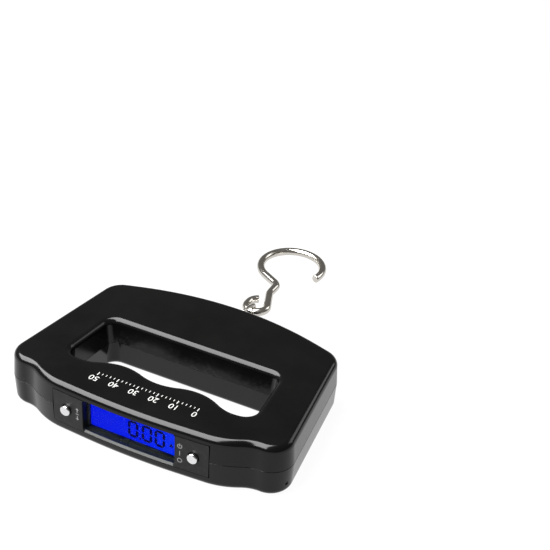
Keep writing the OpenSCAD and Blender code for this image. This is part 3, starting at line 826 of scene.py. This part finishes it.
def hook_path():
    """Centre line of the hook in its own plane, u across and w along the pull."""
    lean, turn, rise = math.radians(LEAN), math.radians(KNEE_TURN), math.radians(90 - KNEE_TURN)
    start = (-EYE_R * math.cos(lean), EYE_R * math.sin(lean))
    run = (-start[0] - LEAN_R * (1 - math.cos(lean))) / math.sin(lean)
    lean_end = (start[0] + run * math.sin(lean), start[1] + run * math.cos(lean))
    bend_w = lean_end[1] + LEAN_R * math.sin(lean)
    knee_end = (KNEE_R * (1 - math.cos(turn)), KNEE_W + KNEE_R * math.sin(turn))
    slope = (BOWL_U + BOWL_R * math.cos(turn) - knee_end[0]) / math.cos(rise)
    bowl_w = knee_end[1] + slope * math.sin(rise) + BOWL_R * math.sin(turn)
    path = arc(0, EYE_TAIL, EYE_R, 68, 0) + [(EYE_R, EYE_TAIL / 2)] + arc(0, 0, EYE_R, 0, -180 - LEAN)
    path += rod_points(path[-1], lean_end) + arc(-LEAN_R, bend_w, LEAN_R, -LEAN, 0)
    path += rod_points(path[-1], (0, KNEE_W)) + arc(KNEE_R, KNEE_W, KNEE_R, 180, 180 - KNEE_TURN)
    bowl = arc(BOWL_U, bowl_w, BOWL_R, -KNEE_TURN, BOWL_END, 3)
    return path + rod_points(path[-1], bowl[0]) + bowl


def cleaned(path):
    """The path without points that lie on each other."""
    out = [path[0]]
    for p in path[1:]:
        if math.dist(p, out[-1]) > 0.05:
            out.append(p)
    return out


hook = wire("hook_wire", [(-u, EYE_MID_Y + w, HOOK_Z) for u, w in cleaned(hook_path())], HOOK_R, CHROME,
            sides=32)
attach(hook, "hook")
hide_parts("s_hook")

LINK_R = 0.75
LINK_BEND = 3.25
LINK_LONG = 7.2
DROOP = math.radians(14)
WELD_SWELL, WELD_LENGTH = 0.16, 0.7


def link_bend(middle, a0, a1):
    """One of the link's two bends."""
    return [(LINK_BEND * math.cos(a), middle + LINK_BEND * math.sin(a))
            for a in np.radians(np.arange(a0, a1, 7.5))]


def link_loop():
    """Centre line of the link: across, and away from the tongue's hole."""
    there = [(LINK_BEND, LINK_LONG * k / 8) for k in range(1, 8)]
    back = [(-x, y) for x, y in there[::-1]]
    return link_bend(0, 180, 361) + there + link_bend(LINK_LONG, 0, 181) + back


near = joint_at("link_swing")
way = Vector((0, math.cos(DROOP), -math.sin(DROOP)))
lift = Vector((0, math.sin(DROOP), math.cos(DROOP)))
weld = [1.0 + WELD_SWELL * math.exp(-((b - LINK_LONG / 2) / WELD_LENGTH) ** 2) * (a > LINK_BEND - 0.05)
        for a, b in link_loop()]
link = wire("link_ring", [near + lift * a + way * b for a, b in link_loop()], LINK_R, CHROME, closed=True,
            swell=weld)
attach(link, "link")
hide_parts("chain_link")

SHAFT_R = 2.5
HEAD_R, HEAD_T = 4, 2
TONGUE_Y = HALF_L + 3.8
TONGUE_END = TONGUE_Y + 6.8
TONGUE_HALF = 1
EYELET_Y, EYELET_R = HALF_L + 6.7, 1.25


def swivel_shaft():
    """A headed shaft whose far end is flattened into a drilled tongue."""
    length = TONGUE_Y - HEAD_Y
    profile = [(0, 0), (HEAD_R - 0.2, 0), (HEAD_R, 0.2), (HEAD_R, HEAD_T - 0.2), (HEAD_R - 0.2, HEAD_T),
               (SHAFT_R, HEAD_T), (SHAFT_R, length - 0.4), (SHAFT_R - 0.4, length), (0, length)]
    shaft = lathe("swivel_shaft", profile, (0, HEAD_Y, SEAM_Z), (0, 1, 0), CHROME, sides=72)
    tongue = rod_y((0, TONGUE_Y - 2, SEAM_Z), SHAFT_R - 0.02, TONGUE_END + 1 - TONGUE_Y + 2, 72)
    low, high = SEAM_Z - TONGUE_HALF, SEAM_Z + TONGUE_HALF
    block = box("block", (-4, TONGUE_Y - 3, low), (4, TONGUE_END - SHAFT_R, high))
    round_end = pegs([(0, TONGUE_END - SHAFT_R)], SHAFT_R, low, high, 64)
    cut(block, round_end, operation="UNION")
    cut(tongue, block, operation="INTERSECT")
    cut(shaft, tongue, operation="UNION")
    cut(shaft, pegs([(0, EYELET_Y)], EYELET_R, SEAM_Z - 3, SEAM_Z + 3, 40))
    return softened(shaft, 0.18, 3, 40)


shaft = swivel_shaft()
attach(shaft, "shaft")
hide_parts("hook_shaft")

# ---- Battery cover ----

STEP_GAP = 0.2
RIBS_X = -14.5
RIB_R = 0.35


def rounded_rect(lo, hi, r):
    steps = 6
    corners = [(hi[0] - r, hi[1] - r), (lo[0] + r, hi[1] - r), (lo[0] + r, lo[1] + r), (hi[0] - r, lo[1] + r)]
    out = []
    for quarter, (cx, cy) in enumerate(corners):
        angles = [math.radians(90 * (quarter + k / steps)) for k in range(steps + 1)]
        out += [(cx + r * math.cos(a), cy + r * math.sin(a)) for a in angles]
    return out


def prism(name, corners, z0, z1, *materials):
    """Upright prism over corners (x, y)."""
    n = len(corners)
    points = [(x, y, z0) for x, y in corners] + [(x, y, z1) for x, y in corners]
    faces = ring_faces(0, n, n) + [tuple(range(n))[::-1], tuple(range(n, 2 * n))]
    return outward(make(name, points, faces, *materials))


def battery_cover():
    """A stepped plate with a patch of finger ribs."""
    cover = prism("battery_cover_plate", rounded_rect(door_lo[:2], door_hi[:2], 0.9), 0, 0.8, COVER)
    inner_lo, inner_hi = [c + STEP_GAP for c in DOOR[0]], [c - STEP_GAP for c in DOOR[1]]
    cut(cover, prism("step", rounded_rect(inner_lo, inner_hi, 0.5), 0.1, 1.6), operation="UNION")
    mid_y = (door_lo.y + door_hi.y) / 2
    ribs = []
    for x in np.arange(-18.5, -10, 1.6):
        reach = 4.5 - abs(x - RIBS_X) * 0.35
        lo, hi = (x - RIB_R, mid_y - reach), (x + RIB_R, mid_y + reach)
        ribs.append(prism("rib", rounded_rect(lo, hi, RIB_R - 0.01), -1, 0.35))
    cut(cover, *ribs)
    return softened(cover, 0.1, 2, 40)


cover = battery_cover()
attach(cover, "battery_cover")
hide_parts("battery_door")

# ---- Printed scale on the grip and marks beside the buttons ----

def glyph(text, size):
    """Outline mesh of a numeral as polygons of (x, y), its middle at the origin."""
    curve = bpy.data.curves.new("glyph", "FONT")
    curve.body = text
    curve.size = size
    curve.resolution_u = 3
    curve.align_x = "CENTER"
    curve.align_y = "CENTER"
    obj = bpy.data.objects.new("glyph", curve)
    bpy.context.scene.collection.objects.link(obj)
    mesh = bpy.data.meshes.new_from_object(obj.evaluated_get(bpy.context.evaluated_depsgraph_get()))
    points = [tuple(v.co[:2]) for v in mesh.vertices]
    faces = [tuple(p.vertices) for p in mesh.polygons]
    bpy.data.objects.remove(obj)
    return points, faces


SCALE_START, SCALE_LENGTH, SCALE_Y = 24.0, 48.0, -32.4
TICKS_Y = SCALE_Y + 3.5
NUMERALS_Y = SCALE_Y - 0.75
NUMERAL_SIZE = 4.5
INK_Z, INK_T = BODY_T + 0.003, 0.02


def thickened(name, corners, faces, z0, z1, *materials):
    """Flat faces over corners (x, y) as a closed solid, with walls along their open edges."""
    n = len(corners)
    edges = [edge for face in faces for edge in zip(face, face[1:] + face[:1])]
    uses = Counter(frozenset(edge) for edge in edges)
    walls = [(a, b, b + n, a + n) for a, b in edges if uses[frozenset((a, b))] == 1]
    points = [(x, y, z0) for x, y in corners] + [(x, y, z1) for x, y in corners]
    lower, upper = [face[::-1] for face in faces], [tuple(i + n for i in face) for face in faces]
    return outward(make(name, points, lower + upper + walls, *materials))


def grip_scale():
    """A row of ticks with numerals at every fifth, read from the hook's side."""
    points, faces = [], []

    def add(shape_points, shape_faces):
        low = len(points)
        points.extend(shape_points)
        faces.extend(tuple(low + i for i in f) for f in shape_faces)

    for k in range(26):
        tall, w = (2.0, 0.2) if k % 5 == 0 else (1.2, 0.15)
        x = SCALE_START - SCALE_LENGTH * k / 25
        add(bar(x - w, TICKS_Y - tall, x + w, TICKS_Y), [(0, 1, 2, 3)])
    for k in range(6):
        shape, shape_faces = glyph(str(10 * k), NUMERAL_SIZE)
        middle = SCALE_START - SCALE_LENGTH * k / 5
        add([(middle - x, NUMERALS_Y - y) for x, y in shape], shape_faces)
    return thickened("grip_scale_print", points, faces, INK_Z, INK_Z + INK_T, PRINT)


scale_print = grip_scale()
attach(scale_print, "casing")

LEFT_X, RIGHT_X = -24.7, 24.3
RING_R, STROKE_HALF, RING_UP = 0.95, 0.17, 3.6
ARROW_HEAD, ARROW_STEM = 0.85, 1.3


def on_panel(name, shapes, material):
    """Thin shapes, polygons of (x, z), laid on the panel's curved face."""
    points, faces = [], []
    for shape in shapes:
        low, n = len(points), len(shape)
        for side in (-INK_T, INK_T):
            points += [(x, display_edge_y(x, PANEL_INSET) + side, z) for x, z in shape]
        faces += ring_faces(low, low + n, n)
        faces += [tuple(range(low, low + n))[::-1], tuple(range(low + n, low + 2 * n))]
    return outward(make(name, points, faces, material))


def stroke(cx, cz, a0, a1):
    """A stroke along part of a ring, from angle a0 to a1."""
    spots = [math.radians(a0 + (a1 - a0) * k / 20) for k in range(21)]
    outer, inner = ([(cx + r * math.cos(a), cz + r * math.sin(a)) for a in spots]
                    for r in (RING_R + STROKE_HALF, RING_R - STROKE_HALF))
    return outer + inner[::-1]


def arrow(x, z, way):
    """An arrow from height z, upwards where way is 1 and downwards where it is -1."""
    base = z + way * ARROW_STEM
    head = [(x - ARROW_HEAD, base), (x + ARROW_HEAD, base), (x, base + way * ARROW_HEAD)]
    return [head[::way], bar(x - 0.2, min(z, base), x + 0.2, max(z, base))]


left_marks = arrow(LEFT_X, DISPLAY_Z + 0.9, 1) + arrow(LEFT_X, DISPLAY_Z - 0.9, -1)
left_marks.append(bar(LEFT_X - 0.8, DISPLAY_Z - 0.15, LEFT_X + 0.8, DISPLAY_Z + 0.15))
high, low = DISPLAY_Z + RING_UP, DISPLAY_Z - RING_UP
right_marks = [stroke(RIGHT_X, high, 120, 420), bar(RIGHT_X - 0.16, high - 0.1, RIGHT_X + 0.16, high + 1.4),
               bar(RIGHT_X - 0.15, DISPLAY_Z - 1.1, RIGHT_X + 0.15, DISPLAY_Z + 1.1),
               stroke(RIGHT_X, low, 0, 180), stroke(RIGHT_X, low, 180, 360)]
marks = on_panel("panel_marks", left_marks + right_marks, MARK)
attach(marks, "casing")

# ---- Materials of the CAD nodes that stay ----

STEEL = metal("steel", (0.56, 0.57, 0.58), (0.22, 0.38), 2200)
ALUMINIUM = metal("milled_aluminium", (0.70, 0.71, 0.73), (0.28, 0.42), 1200, (6, 1, 1), 0.12)
BRASS = metal("washer_bronze", (0.62, 0.45, 0.19), (0.25, 0.4), 1500)
NICKEL = metal("contact_nickel", (0.68, 0.66, 0.62), (0.2, 0.35), 1800)
BOARD = moulded("board_laminate", (0.008, 0.06, 0.022), (0.014, 0.11, 0.04), (0.3, 0.45), 2500)
CHIP = moulded("chip_resin", (0.008, 0.008, 0.008), (0.014, 0.014, 0.014), (0.4, 0.55), 5000)
SWITCH = moulded("switch_body", (0.01, 0.01, 0.011), (0.018, 0.018, 0.02), (0.35, 0.5), 4000)
SEALANT = moulded("gauge_sealant", (0.6, 0.6, 0.56), (0.78, 0.78, 0.74), (0.3, 0.55), 700, bump=0.4)
ZEBRA = moulded("zebra_rubber", (0.5, 0.2, 0.28), (0.66, 0.3, 0.4), (0.5, 0.65), 3000)
DIFFUSER = moulded("light_guide", (0.35, 0.42, 0.75), (0.45, 0.52, 0.85), (0.3, 0.4), 2500)
LED = moulded("led_resin", (0.75, 0.75, 0.62), (0.85, 0.85, 0.72), (0.25, 0.35), 2500)
CELL = moulded("cell_label", (0.012, 0.12, 0.04), (0.02, 0.2, 0.07), (0.22, 0.35), 1800, wear=0.3)
LEAD = moulded("lead_insulation", (0.42, 0.012, 0.01), (0.55, 0.02, 0.015), (0.3, 0.45), 2500)
CABLE = moulded("cable_jacket", (0.5, 0.5, 0.49), (0.62, 0.62, 0.6), (0.35, 0.5), 2500)
PLUNGER = moulded("plunger_plastic", (0.02, 0.02, 0.02), (0.035, 0.035, 0.035), (0.3, 0.45), 3500)

GLASS = Nodes("window_acrylic")
haze = GLASS.noise(90, 5, 0.7)
gloss = GLASS.ramp(haze, "Fac", [(0.35, 0.01), (0.75, 0.05)])
GLASS.link(gloss, "Color", GLASS.shader, "Roughness")
scratch = GLASS.noise(1500, 4, 0.7, (1, 0.2, 1))
GLASS.bump(scratch, "Fac", 0.02, GLASS_RELIEF)
GLASS.set(Transmission_Weight=1.0, IOR=1.06, Base_Color=(0.93, 0.95, 1.0, 1))

FINISHES = {
    "case_screws": STEEL, "board_screws": STEEL, "cell_screws": STEEL, "bracket_screws": STEEL,
    "cell_bracket": STEEL, "load_cell": ALUMINIUM, "thrust_washer": BRASS, "battery_contacts": NICKEL,
    "main_board": BOARD, "board_chips": CHIP, "tact_switches": SWITCH, "strain_gauges": SEALANT,
    "zebra_strip": ZEBRA, "backlight": DIFFUSER, "backlight_leds": LED, "battery_cells": CELL,
    "battery_leads": LEAD, "cell_cable": CABLE, "unit_plunger": PLUNGER, "tare_plunger": PLUNGER,
    "display_window": GLASS.material,
}
for node, finish in FINISHES.items():
    mesh = frame["nodes"][node].data
    mesh.materials.clear()
    mesh.materials.append(finish)

# ---- Floor, light and camera ----

FLOOR = Nodes("floor_paper")
fibre = FLOOR.noise(60, 4, 0.6)
pale = FLOOR.ramp(fibre, "Fac", [(0.3, 0.030), (0.7, 0.034)])
FLOOR.colour(pale)
FLOOR.set(Roughness=0.9, Emission_Strength=0.96, Emission_Color=(1, 1, 1, 1), Specular_IOR_Level=0.2)
FLOOR_HALF, FLOOR_DROP = 3, 0.0001
floor_mesh = bpy.data.meshes.new("floor")
floor_mesh.from_pydata([(x * FLOOR_HALF, y * FLOOR_HALF, -FLOOR_DROP) for x, y in bar(-1, -1, 1, 1)], [],
                       [(0, 1, 2, 3)])
floor_mesh.materials.append(FLOOR.material)
floor = bpy.data.objects.new("floor", floor_mesh)
bpy.context.scene.collection.objects.link(floor)


def area_light(name, location, energy, size, depth=None, aimed=False):
    """A soft light that looks straight down, or at the middle of the part where it is aimed."""
    light = bpy.data.lights.new(name, "AREA")
    light.size = size
    light.energy = energy
    if depth:
        light.shape = "RECTANGLE"
        light.size_y = depth
    obj = bpy.data.objects.new(name, light)
    obj.location = location
    if aimed:
        obj.rotation_euler = Vector(location).to_track_quat("Z", "Y").to_euler()
    obj.visible_camera = False
    bpy.context.scene.collection.objects.link(obj)


area_light("softbox", (-0.34, -0.25, 0.50), 25, 0.72, depth=0.74)
area_light("side_light", (0.45, 0.6, 0.47), 1.2, 0.4, aimed=True)

SEEN_WORLD = (1, 1, 1, 1)
LIGHTING_WORLD = (0.185, 0.18, 0.17, 1)
world = bpy.data.worlds.new("studio")
world.use_nodes = True
bpy.context.scene.world = world
tree = world.node_tree
tree.nodes.clear()
mix = tree.nodes.new("ShaderNodeMixShader")
tree.links.new(tree.nodes.new("ShaderNodeLightPath").outputs["Is Camera Ray"], mix.inputs[0])
for socket, colour in ((mix.inputs[1], LIGHTING_WORLD), (mix.inputs[2], SEEN_WORLD)):
    background = tree.nodes.new("ShaderNodeBackground")
    background.inputs["Color"].default_value = colour
    tree.links.new(background.outputs[0], socket)
tree.links.new(mix.outputs[0], tree.nodes.new("ShaderNodeOutputWorld").inputs[0])
bpy.context.scene.view_settings.view_transform = "Standard"

CAMERA_AT = (217.909, -379.2859, 337.057)
CAMERA_TURN = (58.2089, -2.8843, 26.8494)
lens = bpy.data.cameras.new("camera")
lens.lens = 81.682
lens.sensor_width = 36
camera = bpy.data.objects.new("camera", lens)
camera.location = to_row(CAMERA_AT)
camera.rotation_euler = Euler([math.radians(a) for a in CAMERA_TURN], "XYZ")
bpy.context.scene.collection.objects.link(camera)
bpy.context.scene.camera = camera
